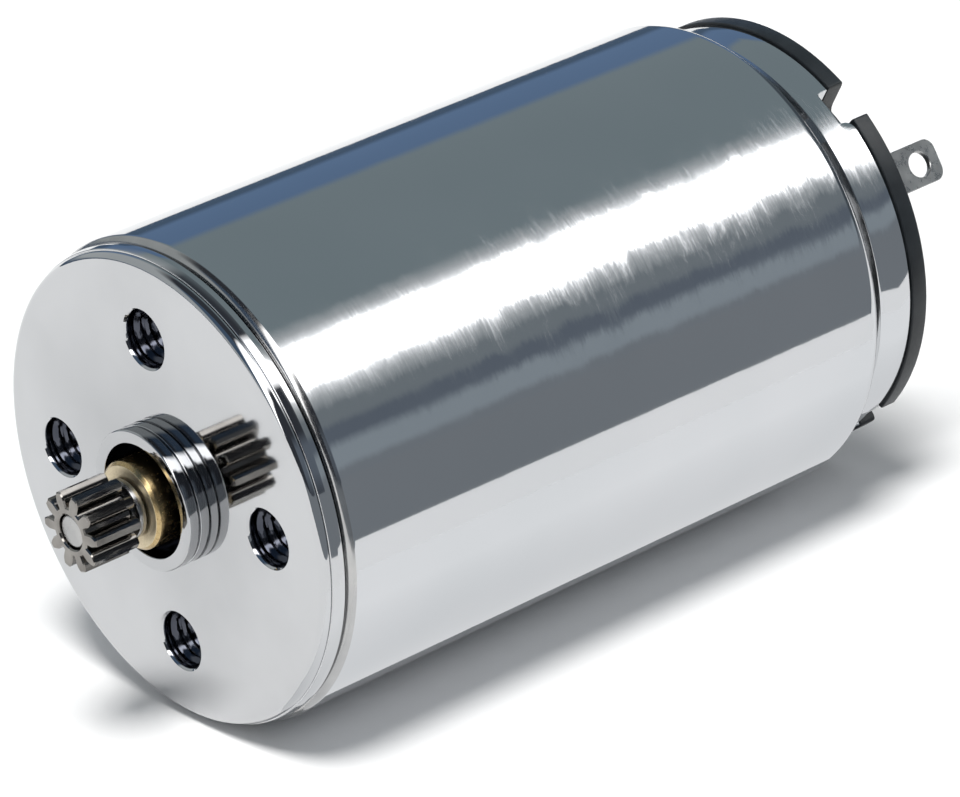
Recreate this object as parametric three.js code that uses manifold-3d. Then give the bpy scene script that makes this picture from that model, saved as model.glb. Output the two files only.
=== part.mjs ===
// Coreless (ironless) DC micromotor with a 22 mm steel can, a steel output pinion and two solder lugs.
//
// Millimetres. The shaft lies along Y: the output end faces -Y, the terminals face +Y, and +Z is up
// when the motor lies on its side. The origin is on the shaft axis, in the plane of the mounting face,
// so every "y" below is a distance behind that face. Angles run from +X towards +Z, about the shaft.
// Every turned piece is a lathe profile of [radius, y] points, listed outwards along its front,
// rearwards along its outside, inwards along its rear and forwards along its bore.

import * as THREE from 'three';
import { mergeVertices } from 'three/addons/utils/BufferGeometryUtils.js';
import Module from 'manifold-3d';

const wasm = await Module();
wasm.setup();

// ---------- driving dimensions ----------

const CAN_RADIUS = 11;          // outer flux-return tube, a 22 mm motor
const CAN_WALL = 1.1;
const CAN_FRONT_Y = 1.2;        // seam between the front flange's rim and the tube
const CAN_REAR_Y = 32.1;
const CAN_FRONT_EDGE = 0.5;     // rounding on the tube's outer edges
const CAN_REAR_EDGE = 0.75;

const FLANGE_RIM_RADIUS = 10.8;
const FLANGE_EDGE = 0.4;        // rounding between the mounting face and the rim
const FLANGE_REAR_Y = 3.6;
const SEAM_DEPTH = 0.35;        // groove between the rim and the tube
const SEAM_WIDTH = 0.15;

const HOLE_CIRCLE_RADIUS = 7.1; // four M2.5 tapped holes on a 14.2 mm circle
const HOLE_COUNT = 4;
const HOLE_RADIUS = 1.13;       // mean radius of the M2.5 thread
const HOLE_MOUTH_RADIUS = 1.4;
const HOLE_DEPTH = 3.0;

const BOSS_RADIUS = 3.2;        // pilot boss around the front bush
const BOSS_HEIGHT = 1.1;
const BOSS_BORE_RADIUS = 2.6;
const BOSS_RECESS_Y = 1.0;
const BOSS_GROOVE_Y = -0.5;
const BOSS_GROOVE = 0.12;

const SHAFT_RADIUS = 0.75;
const SHAFT_FRONT_Y = -4.85;
const SHAFT_REAR_Y = 31.9;
const RUNNING_CLEARANCE = 0.05; // radial, shaft in its bushes
const FIT = 0.05;               // gap left between pieces that are pressed or glued together

const BUSH_RADIUS = 2.0;        // front sintered bush
const BUSH_FRONT_Y = -1.8;
const BUSH_REAR_Y = 3.0;
const BUSH_CHAMFER = 0.2;

const PINION_TEETH = 10;
const PINION_MODULE = 0.3;
const PINION_FRONT_Y = -4.95;
const PINION_REAR_Y = -2.5;

const SLEEVE_RADIUS = 2.25;     // steel sleeve that carries the magnet
const SLEEVE_BORE_RADIUS = 1.6;
const SLEEVE_REAR_Y = 25.4;
const REAR_BUSH_FRONT_Y = 22.4;

const MAGNET_RADIUS = 7.9;
const MAGNET_FRONT_Y = 4.0;
const MAGNET_REAR_Y = 24.0;
const RETAINER_RADIUS = 7.0;
const RETAINER_THICKNESS = 0.5;

const COIL_INNER_RADIUS = 8.25;
const COIL_OUTER_RADIUS = 9.45;
const COIL_RING_FRONT_Y = 4.3;
const COIL_FRONT_Y = 5.0;
const COIL_REAR_Y = 26.0;

const HUB_RADIUS = 8.9;         // moulded disc that joins the coil, shaft and commutator
const HUB_FRONT_Y = 26.05;
const HUB_REAR_Y = 27.2;

const SEGMENT_COUNT = 9;
const COMMUTATOR_RADIUS = 2.7;
const COMMUTATOR_CORE_RADIUS = 2.0;
const COMMUTATOR_FRONT_Y = 27.25;
const COMMUTATOR_REAR_Y = 31.4;
const TAB_RADIUS = 4.4;
const TAB_THICKNESS = 0.35;
const SEGMENT_GAP = 0.3;
const TAP_SIZE = 0.3;           // square section of a coil tap lead

const REAR_RING_RADIUS = 10.0;
const REAR_RING_BORE_RADIUS = 9.0;
const REAR_RING_SPIGOT_Y = 29.7;
const REAR_RING_REAR_Y = 34.8;
const REAR_RING_FLARE_RADIUS = 10.4; // the ring widens towards the tube
const REAR_RING_FLARE_Y = 32.9;

const CAP_RADIUS = 10.1;
const CAP_REAR_Y = 35.75;
const CAP_WALL_OUTER_RADIUS = 8.95;
const CAP_WALL_INNER_RADIUS = 7.95;
const CAP_WALL_FRONT_Y = 29.9;
const CAP_FLOOR_Y = 33.6;
const CAP_RECESS_RADIUS = 6.6;
const CAP_RECESS_DEPTH = 0.3;

const NOTCH_ANGLES = [52, 133, 232, 313]; // degrees
const NOTCH_WIDTH = 1.8;
const NOTCH_FLOOR_RADIUS = 8.2;
const NOTCH_DEPTH_IN_RING = 0.65;

const LUG_ANGLES = [29, 209];   // degrees
const LUG_RADIUS = 7.6;
const LUG_WIDTH = 2.0;
const LUG_THICKNESS = 0.3;
const LUG_FRONT_Y = 28.6;
const LUG_REAR_Y = 40.1;
const LUG_CORNER = 0.55;
const LUG_HOLE_RADIUS = 0.6;
const LUG_HOLE_Y = 38.9;
const LUG_SLOT_GAP = 0.25;

const BRUSH_THICKNESS = 0.2;
const BRUSH_FRONT_Y = 28.5;
const BRUSH_REAR_Y = 31.1;
const BRUSH_FINGERS = 3;
const FINGER_SLOT = 0.3;

const FACETS_LARGE = 48;
const FACETS_MEDIUM = 32;
const FACETS_SMALL = 24;
const CLEAR = 1;                // how far a cutting tool runs past the surface it cuts

// ---------- helpers ----------

const degrees = (angle) => (angle * Math.PI) / 180;

// Points along a quarter of a circle, from one angle to another (degrees, from the radial direction
// towards +y), for rounded edges in a lathe profile.
function arc(centreRadius, centreY, radius, from, to, steps = 3) {
  const points = [];
  for (let i = 0; i <= steps; i += 1) {
    const angle = degrees(from + ((to - from) * i) / steps);
    points.push([centreRadius + radius * Math.cos(angle), centreY + radius * Math.sin(angle)]);
  }
  return points;
}

// A turned piece. A profile that stands off the axis is closed on itself. The radii are those of the
// flats, so a bore clears its shaft and the can is 22 mm across flats. The first facet is turned by half
// a step, so that the motor lies on a flat and not on an edge.
function turned(profile, facets) {
  const cornerScale = 1 / Math.cos(Math.PI / facets);
  const points = profile.map(([radius, y]) => new THREE.Vector2(radius * cornerScale, y));
  const onAxis = profile[0][0] === 0;
  if (!onAxis) {
    points.push(points[0].clone());
  }
  return new THREE.LatheGeometry(points, facets, Math.PI / facets);
}

// A plain ring or sleeve between two radii.
function ring(innerRadius, outerRadius, frontY, rearY, facets) {
  return turned([[innerRadius, frontY], [outerRadius, frontY], [outerRadius, rearY], [innerRadius, rearY]], facets);
}

// A box from its middle and its three sizes.
function block(x, y, z, width, length, height) {
  return new THREE.BoxGeometry(width, length, height).translate(x, y, z);
}

// A closed three.js geometry as a manifold solid.
function toSolid(geometry) {
  const bare = geometry.clone();
  bare.deleteAttribute('normal');
  bare.deleteAttribute('uv');
  const merged = mergeVertices(bare);
  const index = Array.from(merged.index.array);
  const triangles = [];
  for (let i = 0; i < index.length; i += 3) {
    const [a, b, c] = index.slice(i, i + 3);
    if (a !== b && b !== c && c !== a) {
      triangles.push(a, b, c);
    }
  }
  return new wasm.Manifold(new wasm.Mesh({
    numProp: 3,
    vertProperties: new Float32Array(merged.attributes.position.array),
    triVerts: new Uint32Array(triangles),
  }));
}

function toGeometry(solid) {
  const mesh = solid.getMesh();
  const geometry = new THREE.BufferGeometry();
  geometry.setAttribute('position', new THREE.BufferAttribute(new Float32Array(mesh.vertProperties), 3));
  geometry.setIndex(new THREE.BufferAttribute(new Uint32Array(mesh.triVerts), 1));
  geometry.computeVertexNormals();
  return geometry;
}

function cut(geometry, tools) {
  const solid = tools.reduce((rest, tool) => rest.subtract(toSolid(tool)), toSolid(geometry));
  return toGeometry(solid);
}

// Places a geometry that was drawn at angle 0 (on +X) at an angle about the shaft.
function aroundShaft(geometry, angle) {
  return geometry.clone().rotateY(-degrees(angle));
}

// ---------- materials ----------

function material(name, color, roughness, metalness) {
  return new THREE.MeshStandardMaterial({ name, color, roughness, metalness });
}

const platedSteel = material('plated_steel', 0xc9cdd0, 0.18, 1);
const steel = material('steel', 0x9a9da0, 0.3, 1);
const bronze = material('sintered_bronze', 0xc9a468, 0.35, 1);
const magnetAlloy = material('magnet_alloy', 0x55585c, 0.5, 1);
const copper = material('coil_copper', 0xb8693a, 0.4, 1);
const contactAlloy = material('contact_alloy', 0xd8b46a, 0.3, 1);
const blackPlastic = material('black_plastic', 0x23282c, 0.55, 0);
const windingResin = material('winding_resin', 0x6a3b22, 0.5, 0);
const tinPlate = material('tin_plate', 0xb9bcbb, 0.35, 1);

// ---------- stator ----------

function housingTube() {
  const inner = CAN_RADIUS - CAN_WALL;
  return turned([
    [inner, CAN_FRONT_Y],
    ...arc(CAN_RADIUS - CAN_FRONT_EDGE, CAN_FRONT_Y + CAN_FRONT_EDGE, CAN_FRONT_EDGE, -90, 0),
    ...arc(CAN_RADIUS - CAN_REAR_EDGE, CAN_REAR_Y - CAN_REAR_EDGE, CAN_REAR_EDGE, 0, 90),
    [inner, CAN_REAR_Y],
  ], FACETS_LARGE);
}

// Blind hole with a countersunk mouth, at angle 0 on the bolt circle.
function tappedHoleTool() {
  const countersink = HOLE_MOUTH_RADIUS - HOLE_RADIUS;
  const tool = turned([
    [0, -CLEAR],
    [HOLE_MOUTH_RADIUS + CLEAR, -CLEAR],
    [HOLE_RADIUS, countersink],
    [HOLE_RADIUS, HOLE_DEPTH],
    [0, HOLE_DEPTH],
  ], FACETS_SMALL);
  return tool.translate(HOLE_CIRCLE_RADIUS, 0, 0);
}

function frontFlange() {
  const spigotRadius = CAN_RADIUS - CAN_WALL - FIT;
  const seamRadius = FLANGE_RIM_RADIUS - SEAM_DEPTH;
  const rimRearY = CAN_FRONT_Y - SEAM_WIDTH;
  const counterbore = SLEEVE_RADIUS + FIT;
  const body = turned([
    [BOSS_BORE_RADIUS, -BOSS_HEIGHT],
    [BOSS_RADIUS - BOSS_GROOVE, -BOSS_HEIGHT],
    [BOSS_RADIUS, BOSS_GROOVE - BOSS_HEIGHT],
    [BOSS_RADIUS, BOSS_GROOVE_Y - BOSS_GROOVE],
    [BOSS_RADIUS - BOSS_GROOVE, BOSS_GROOVE_Y],
    [BOSS_RADIUS, BOSS_GROOVE_Y + BOSS_GROOVE],
    [BOSS_RADIUS, 0],
    ...arc(FLANGE_RIM_RADIUS - FLANGE_EDGE, FLANGE_EDGE, FLANGE_EDGE, -90, 0),
    [FLANGE_RIM_RADIUS, rimRearY],
    [seamRadius, rimRearY],
    [seamRadius, CAN_FRONT_Y - FIT],
    [spigotRadius, CAN_FRONT_Y - FIT],
    [spigotRadius, FLANGE_REAR_Y],
    [counterbore, FLANGE_REAR_Y],
    [counterbore, BUSH_REAR_Y + FIT],
    [BUSH_RADIUS + FIT, BUSH_REAR_Y + FIT],
    [BUSH_RADIUS + FIT, BOSS_RECESS_Y],
    [BOSS_BORE_RADIUS, BOSS_RECESS_Y],
  ], FACETS_LARGE);
  const holes = [];
  for (let i = 0; i < HOLE_COUNT; i += 1) {
    holes.push(aroundShaft(tappedHoleTool(), (360 / HOLE_COUNT) * i));
  }
  return cut(body, holes);
}

function frontBush() {
  const bore = SHAFT_RADIUS + RUNNING_CLEARANCE;
  return turned([
    [bore, BUSH_FRONT_Y],
    [BUSH_RADIUS - BUSH_CHAMFER, BUSH_FRONT_Y],
    [BUSH_RADIUS, BUSH_FRONT_Y + BUSH_CHAMFER],
    [BUSH_RADIUS, BUSH_REAR_Y],
    [bore, BUSH_REAR_Y],
  ], FACETS_LARGE);
}

function rearBush() {
  const bore = SHAFT_RADIUS + RUNNING_CLEARANCE;
  return ring(bore, SLEEVE_BORE_RADIUS - FIT, REAR_BUSH_FRONT_Y, SLEEVE_REAR_Y, FACETS_SMALL);
}

function magnetSleeve() {
  return ring(SLEEVE_BORE_RADIUS, SLEEVE_RADIUS, BUSH_REAR_Y + 2 * FIT, SLEEVE_REAR_Y, FACETS_SMALL);
}

function magnet() {
  return ring(SLEEVE_RADIUS + FIT, MAGNET_RADIUS, MAGNET_FRONT_Y, MAGNET_REAR_Y, FACETS_LARGE);
}

function magnetRetainer() {
  const frontY = MAGNET_REAR_Y + FIT;
  return ring(SLEEVE_RADIUS + FIT, RETAINER_RADIUS, frontY, frontY + RETAINER_THICKNESS, FACETS_MEDIUM);
}

// One notch through the rear ring and the cap, at angle 0.
function notchTool() {
  const frontY = REAR_RING_REAR_Y - NOTCH_DEPTH_IN_RING;
  const rearY = CAP_REAR_Y + CLEAR;
  const outer = CAP_RADIUS + CLEAR;
  const middle = (NOTCH_FLOOR_RADIUS + outer) / 2;
  return block(middle, (frontY + rearY) / 2, 0, outer - NOTCH_FLOOR_RADIUS, rearY - frontY, NOTCH_WIDTH);
}

function notches() {
  return NOTCH_ANGLES.map((angle) => aroundShaft(notchTool(), angle));
}

function rearRing() {
  const spigotRadius = CAN_RADIUS - CAN_WALL - FIT;
  const body = turned([
    [REAR_RING_BORE_RADIUS, REAR_RING_SPIGOT_Y],
    [spigotRadius, REAR_RING_SPIGOT_Y],
    [spigotRadius, CAN_REAR_Y + FIT],
    [REAR_RING_FLARE_RADIUS, CAN_REAR_Y + FIT],
    [REAR_RING_RADIUS, REAR_RING_FLARE_Y],
    [REAR_RING_RADIUS, REAR_RING_REAR_Y],
    [REAR_RING_BORE_RADIUS, REAR_RING_REAR_Y],
  ], FACETS_LARGE);
  return cut(body, notches());
}

// Slot in the cap's floor for one lug, at angle 0.
function lugSlotTool() {
  const rearY = CAP_REAR_Y + CLEAR;
  const frontY = CAP_FLOOR_Y - CLEAR;
  const width = LUG_THICKNESS + 2 * LUG_SLOT_GAP;
  const middleY = (frontY + rearY) / 2;
  return block(LUG_RADIUS - FIT, middleY, 0, width, rearY - frontY, LUG_WIDTH + LUG_SLOT_GAP);
}

function endCap() {
  const edge = 0.1;
  const body = turned([
    [0, CAP_FLOOR_Y],
    [CAP_WALL_INNER_RADIUS, CAP_FLOOR_Y],
    [CAP_WALL_INNER_RADIUS, CAP_WALL_FRONT_Y],
    [CAP_WALL_OUTER_RADIUS, CAP_WALL_FRONT_Y],
    [CAP_WALL_OUTER_RADIUS, REAR_RING_REAR_Y + FIT],
    [CAP_RADIUS, REAR_RING_REAR_Y + FIT],
    [CAP_RADIUS, CAP_REAR_Y - edge],
    [CAP_RADIUS - edge, CAP_REAR_Y],
    [CAP_RECESS_RADIUS, CAP_REAR_Y],
    [CAP_RECESS_RADIUS, CAP_REAR_Y - CAP_RECESS_DEPTH],
    [0, CAP_REAR_Y - CAP_RECESS_DEPTH],
  ], FACETS_LARGE);
  const slots = LUG_ANGLES.map((angle) => aroundShaft(lugSlotTool(), angle));
  return cut(body, [...notches(), ...slots]);
}

// Flat solder lug with rounded outer corners and a round wire hole, facing the shaft at angle 0.
function terminal() {
  const half = LUG_WIDTH / 2;
  const outline = new THREE.Shape();
  outline.moveTo(-half, LUG_FRONT_Y);
  outline.lineTo(half, LUG_FRONT_Y);
  outline.absarc(half - LUG_CORNER, LUG_REAR_Y - LUG_CORNER, LUG_CORNER, 0, Math.PI / 2, false);
  outline.absarc(LUG_CORNER - half, LUG_REAR_Y - LUG_CORNER, LUG_CORNER, Math.PI / 2, Math.PI, false);
  outline.closePath();
  const hole = new THREE.Path();
  hole.absarc(0, LUG_HOLE_Y, LUG_HOLE_RADIUS, 0, 2 * Math.PI, true);
  outline.holes.push(hole);
  const plate = new THREE.ExtrudeGeometry(outline, { depth: LUG_THICKNESS, bevelEnabled: false, curveSegments: 8 });
  return plate.translate(0, 0, -LUG_THICKNESS / 2).rotateY(Math.PI / 2).translate(LUG_RADIUS, 0, 0);
}

// Outline of a thin strip that follows a path, with mitred corners.
function stripOutline(path, thickness) {
  const left = [];
  const right = [];
  path.forEach((point, i) => {
    const before = path[Math.max(i - 1, 0)];
    const after = path[Math.min(i + 1, path.length - 1)];
    const arriving = (i > 0 ? point.clone().sub(before) : after.clone().sub(point)).normalize();
    const leaving = (i < path.length - 1 ? after.clone().sub(point) : arriving.clone()).normalize();
    const along = arriving.add(leaving).normalize();
    const normal = new THREE.Vector2(-along.y, along.x);
    const reach = thickness / 2 / along.dot(leaving);
    left.push(point.clone().addScaledVector(normal, reach));
    right.unshift(point.clone().addScaledVector(normal, -reach));
  });
  return new THREE.Shape([...left, ...right]);
}

// Precious-metal leaf brush: a weld pad on the lug, a bend, and fingers that run on the commutator.
// The path is drawn in the plane across the shaft, as (x, -z), with its lug at angle 0.
function brush() {
  const padX = LUG_RADIUS - LUG_THICKNESS / 2 - BRUSH_THICKNESS;
  const contactX = COMMUTATOR_RADIUS + RUNNING_CLEARANCE + BRUSH_THICKNESS / 2;
  const path = [
    new THREE.Vector2(padX, 0.9),
    new THREE.Vector2(padX, -1.1),
    new THREE.Vector2(5.9, -3.9),
    new THREE.Vector2(4.9, -4.2),
    new THREE.Vector2(4.1, -3.7),
    new THREE.Vector2(contactX + 0.2, -1.4),
    new THREE.Vector2(contactX, 0),
    new THREE.Vector2(contactX + 0.2, 1.4),
    new THREE.Vector2(contactX + 0.7, 2.1),
  ];
  const width = BRUSH_REAR_Y - BRUSH_FRONT_Y;
  const leaf = new THREE.ExtrudeGeometry(stripOutline(path, BRUSH_THICKNESS), { depth: width, bevelEnabled: false });
  leaf.rotateX(-Math.PI / 2).translate(0, BRUSH_FRONT_Y, 0);
  const pitch = (width + FINGER_SLOT) / BRUSH_FINGERS;
  const slots = [];
  for (let i = 1; i < BRUSH_FINGERS; i += 1) {
    slots.push(block(contactX + 0.5, BRUSH_FRONT_Y + i * pitch - FINGER_SLOT / 2, 0, 2.6, FINGER_SLOT, 5.6));
  }
  return cut(leaf, slots);
}

// ---------- rotor ----------

function shaft() {
  const chamfer = 0.15;
  return turned([
    [0, SHAFT_FRONT_Y],
    [SHAFT_RADIUS - chamfer, SHAFT_FRONT_Y],
    [SHAFT_RADIUS, SHAFT_FRONT_Y + chamfer],
    [SHAFT_RADIUS, SHAFT_REAR_Y - chamfer],
    [SHAFT_RADIUS - chamfer, SHAFT_REAR_Y],
    [0, SHAFT_REAR_Y],
  ], FACETS_SMALL);
}

// Spur pinion. Each tooth is a root land, two flanks with a pitch-line point, and a tip land.
function pinion() {
  const pitchRadius = (PINION_MODULE * PINION_TEETH) / 2;
  const tipRadius = pitchRadius + PINION_MODULE;
  const rootRadius = pitchRadius - 1.25 * PINION_MODULE;
  const pitchAngle = 360 / PINION_TEETH;
  const flank = [[rootRadius, 0.36], [pitchRadius, 0.25], [tipRadius, 0.1]];
  const points = [];
  for (let i = 0; i < PINION_TEETH; i += 1) {
    const tooth = [
      ...flank.map(([radius, share]) => [radius, -share]),
      ...flank.map(([radius, share]) => [radius, share]).reverse(),
    ];
    tooth.forEach(([radius, share]) => {
      const angle = degrees((i + share) * pitchAngle);
      points.push(new THREE.Vector2(radius * Math.cos(angle), radius * Math.sin(angle)));
    });
  }
  const outline = new THREE.Shape(points);
  const bore = new THREE.Path();
  bore.absarc(0, 0, SHAFT_RADIUS + FIT, 0, 2 * Math.PI, true);
  outline.holes.push(bore);
  const length = PINION_REAR_Y - PINION_FRONT_Y;
  const gear = new THREE.ExtrudeGeometry(outline, { depth: length, bevelEnabled: false, curveSegments: 12 });
  return gear.rotateX(-Math.PI / 2).translate(0, PINION_FRONT_Y, 0);
}

function frontShim() {
  return ring(SHAFT_RADIUS + FIT, 1.35, BUSH_FRONT_Y - 0.45, BUSH_FRONT_Y - 0.1, FACETS_SMALL);
}

function rearShim() {
  return ring(SHAFT_RADIUS + FIT, 1.5, SLEEVE_REAR_Y + 0.1, HUB_FRONT_Y - 0.1, FACETS_SMALL);
}

function coil() {
  return ring(COIL_INNER_RADIUS, COIL_OUTER_RADIUS, COIL_FRONT_Y, COIL_REAR_Y, FACETS_LARGE);
}

function coilRing() {
  return ring(COIL_INNER_RADIUS, COIL_OUTER_RADIUS, COIL_RING_FRONT_Y, COIL_FRONT_Y - FIT, FACETS_LARGE);
}

function windingHub() {
  return ring(SHAFT_RADIUS + FIT, HUB_RADIUS, HUB_FRONT_Y, HUB_REAR_Y, FACETS_LARGE);
}

// Moulded core of the commutator, with a collar behind the segments.
function commutatorCore() {
  const collarRadius = COMMUTATOR_RADIUS - 0.2;
  return turned([
    [SHAFT_RADIUS + FIT, COMMUTATOR_FRONT_Y],
    [COMMUTATOR_CORE_RADIUS, COMMUTATOR_FRONT_Y],
    [COMMUTATOR_CORE_RADIUS, COMMUTATOR_REAR_Y + FIT],
    [collarRadius, COMMUTATOR_REAR_Y + FIT],
    [collarRadius, SHAFT_REAR_Y],
    [SHAFT_RADIUS + FIT, SHAFT_REAR_Y],
  ], FACETS_MEDIUM);
}

// Commutator segment at angle 0: a wedge of a ring that has a tab disc at its front.
function commutatorSegment() {
  const inner = COMMUTATOR_CORE_RADIUS + FIT;
  const tabRearY = COMMUTATOR_FRONT_Y + TAB_THICKNESS;
  const whole = turned([
    [inner, COMMUTATOR_FRONT_Y],
    [TAB_RADIUS, COMMUTATOR_FRONT_Y],
    [TAB_RADIUS, tabRearY],
    [COMMUTATOR_RADIUS, tabRearY],
    [COMMUTATOR_RADIUS, COMMUTATOR_REAR_Y],
    [inner, COMMUTATOR_REAR_Y],
  ], FACETS_LARGE);
  const halfAngle = Math.PI / SEGMENT_COUNT;
  const apex = SEGMENT_GAP / 2 / Math.sin(halfAngle);
  const reach = TAB_RADIUS + CLEAR;
  const spread = reach * Math.tan(halfAngle);
  const triangle = new THREE.Shape([
    new THREE.Vector2(apex, 0),
    new THREE.Vector2(apex + reach, -spread),
    new THREE.Vector2(apex + reach, spread),
  ]);
  const wedge = new THREE.ExtrudeGeometry(triangle, { depth: COMMUTATOR_REAR_Y, bevelEnabled: false });
  wedge.rotateX(-Math.PI / 2).translate(0, CLEAR, 0);
  return toGeometry(toSolid(whole).intersect(toSolid(wedge)));
}

// Tap lead at angle 0: over the rim of the hub from the coil, then inwards to a commutator tab.
function coilTap() {
  const innerX = TAB_RADIUS + 0.15;
  const outerX = COIL_OUTER_RADIUS - 0.1;
  const baseY = HUB_REAR_Y + 0.1;
  const outline = new THREE.Shape([
    new THREE.Vector2(innerX, baseY),
    new THREE.Vector2(outerX - TAP_SIZE, baseY),
    new THREE.Vector2(outerX - TAP_SIZE, COIL_REAR_Y + FIT),
    new THREE.Vector2(outerX, COIL_REAR_Y + FIT),
    new THREE.Vector2(outerX, baseY + TAP_SIZE),
    new THREE.Vector2(innerX, baseY + TAP_SIZE),
  ]);
  const lead = new THREE.ExtrudeGeometry(outline, { depth: TAP_SIZE, bevelEnabled: false });
  return lead.translate(0, 0, -TAP_SIZE / 2);
}

// ---------- assembly ----------

const motor = new THREE.Group();
const stator = new THREE.Group();
const rotor = new THREE.Group();
motor.add(stator, rotor);

function place(parent, name, geometry, look, angle = 0) {
  const mesh = new THREE.Mesh(geometry, look);
  mesh.name = name;
  mesh.rotation.y = -degrees(angle);
  parent.add(mesh);
}

place(stator, 'housing_tube', housingTube(), platedSteel);
place(stator, 'front_flange', frontFlange(), platedSteel);
place(stator, 'front_bush', frontBush(), bronze);
place(stator, 'rear_bush', rearBush(), bronze);
place(stator, 'magnet_sleeve', magnetSleeve(), steel);
place(stator, 'magnet', magnet(), magnetAlloy);
place(stator, 'magnet_retainer', magnetRetainer(), steel);
place(stator, 'rear_ring', rearRing(), platedSteel);
place(stator, 'end_cap', endCap(), blackPlastic);
LUG_ANGLES.forEach((angle, i) => {
  place(stator, `terminal_${i + 1}`, terminal(), tinPlate, angle);
  place(stator, `brush_${i + 1}`, brush(), contactAlloy, angle);
});

place(rotor, 'shaft', shaft(), steel);
place(rotor, 'pinion', pinion(), steel);
place(rotor, 'front_shim', frontShim(), steel);
place(rotor, 'rear_shim', rearShim(), steel);
place(rotor, 'coil', coil(), copper);
place(rotor, 'coil_ring', coilRing(), windingResin);
place(rotor, 'winding_hub', windingHub(), blackPlastic);
place(rotor, 'commutator_core', commutatorCore(), blackPlastic);
for (let i = 0; i < SEGMENT_COUNT; i += 1) {
  const angle = (360 / SEGMENT_COUNT) * i;
  place(rotor, `commutator_segment_${i + 1}`, commutatorSegment(), contactAlloy, angle);
  place(rotor, `coil_tap_${i + 1}`, coilTap(), copper, angle);
}

export default motor;
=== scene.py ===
"""Looks of a coreless DC micromotor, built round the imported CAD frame.

The shaft lies along Y with the output end at -Y, and the motor lies on its side on a pale floor.
Lengths are in millimetres until a mesh is made, and angles run from +X towards +Z about the shaft.
"""

import math

import bmesh
import bpy
from mathutils import Matrix, Vector
from mathutils.geometry import tessellate_polygon


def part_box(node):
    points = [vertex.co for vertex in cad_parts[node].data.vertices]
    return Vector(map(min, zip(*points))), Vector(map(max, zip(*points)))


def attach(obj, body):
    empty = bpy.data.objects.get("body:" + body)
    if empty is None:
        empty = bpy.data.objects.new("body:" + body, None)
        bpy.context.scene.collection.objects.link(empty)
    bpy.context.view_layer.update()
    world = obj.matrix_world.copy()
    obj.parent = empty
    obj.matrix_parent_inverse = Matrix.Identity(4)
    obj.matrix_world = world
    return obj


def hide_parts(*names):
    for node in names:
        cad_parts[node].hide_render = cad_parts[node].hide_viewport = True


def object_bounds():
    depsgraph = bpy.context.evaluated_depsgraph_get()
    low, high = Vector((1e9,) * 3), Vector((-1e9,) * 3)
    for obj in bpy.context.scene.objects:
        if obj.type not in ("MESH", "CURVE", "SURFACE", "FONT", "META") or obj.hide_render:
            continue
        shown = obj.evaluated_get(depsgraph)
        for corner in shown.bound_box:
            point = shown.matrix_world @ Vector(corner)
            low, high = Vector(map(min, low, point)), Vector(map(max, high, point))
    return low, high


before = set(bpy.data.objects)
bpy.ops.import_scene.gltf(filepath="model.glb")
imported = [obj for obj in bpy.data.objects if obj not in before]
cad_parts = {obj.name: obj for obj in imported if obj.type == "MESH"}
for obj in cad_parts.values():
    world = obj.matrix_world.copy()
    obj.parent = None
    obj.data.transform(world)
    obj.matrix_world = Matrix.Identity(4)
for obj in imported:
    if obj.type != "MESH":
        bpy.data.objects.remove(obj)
CAD_LOW, CAD_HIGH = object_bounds()

MM = 0.001
FINE = 192  # facets round a large turned piece
SMALL = 96  # facets round a small one
SHARP_ANGLE = 35  # degrees between faces, above which an edge stays sharp


# ---------- sizes, from the frame ----------


def turned_size(node):
    """Outer radius, front y and rear y of a turned CAD node."""
    low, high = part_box(node)
    return (high.x - low.x) / 2 / MM, low.y / MM, high.y / MM


CAN_RADIUS, CAN_FRONT, CAN_REAR = turned_size("housing_tube")
RIM_RADIUS, BOSS_FRONT, FLANGE_REAR = turned_size("front_flange")
BUSH_RADIUS, BUSH_FRONT, BUSH_REAR = turned_size("front_bush")
SHAFT_RADIUS, SHAFT_FRONT, SHAFT_REAR = turned_size("shaft")
CAP_RADIUS, CAP_FRONT, CAP_REAR = turned_size("end_cap")
FLARE_RADIUS, RING_FRONT, RING_REAR = turned_size("rear_ring")
PINION_FRONT, PINION_REAR = turned_size("pinion")[1:]

CAN_WALL = 1.1
CAN_BORE = CAN_RADIUS - CAN_WALL
FIT = 0.05
SEAM_FRONT = CAN_FRONT - 0.13
SEAM_RADIUS = 10.62
BOSS_RADIUS = 3.2
BOSS_BORE = 2.6
RECESS_Y = 1.0
SHAFT_BORE = SHAFT_RADIUS + FIT
SLEEVE_BORE = 1.6

HOLE_CIRCLE = 7.1
HOLE_DEPTH = 3.0
THREAD_MAJOR = 1.28
THREAD_MINOR = 1.08
THREAD_PITCH = 0.45
HOLE_MOUTH = 1.4

PINION_TEETH = 10
PINION_MODULE = 0.3
PRESSURE_ANGLE = 20

LUG_ANGLES = (29, 209)
LUG_RADIUS = 7.6
LUG_WIDTH = 2.0
LUG_THICKNESS = 0.3
LUG_CORNER = 0.55
LUG_HOLE_Y = 38.9
LUG_HOLE_RADIUS = 0.6

RING_RADIUS = 10.0
FLARE_REAR = 32.9

NOTCH_FLOOR = 8.2
NOTCH_WIDTH = 1.8
NOTCH_DEPTH = 0.65
NOTCH_FRONT = RING_REAR - NOTCH_DEPTH
NOTCHES = ((52, -1), (133, 1), (232, -1), (313, 1))  # angle, and the side whose mouth is rounded


# ---------- mesh helpers ----------


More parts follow.
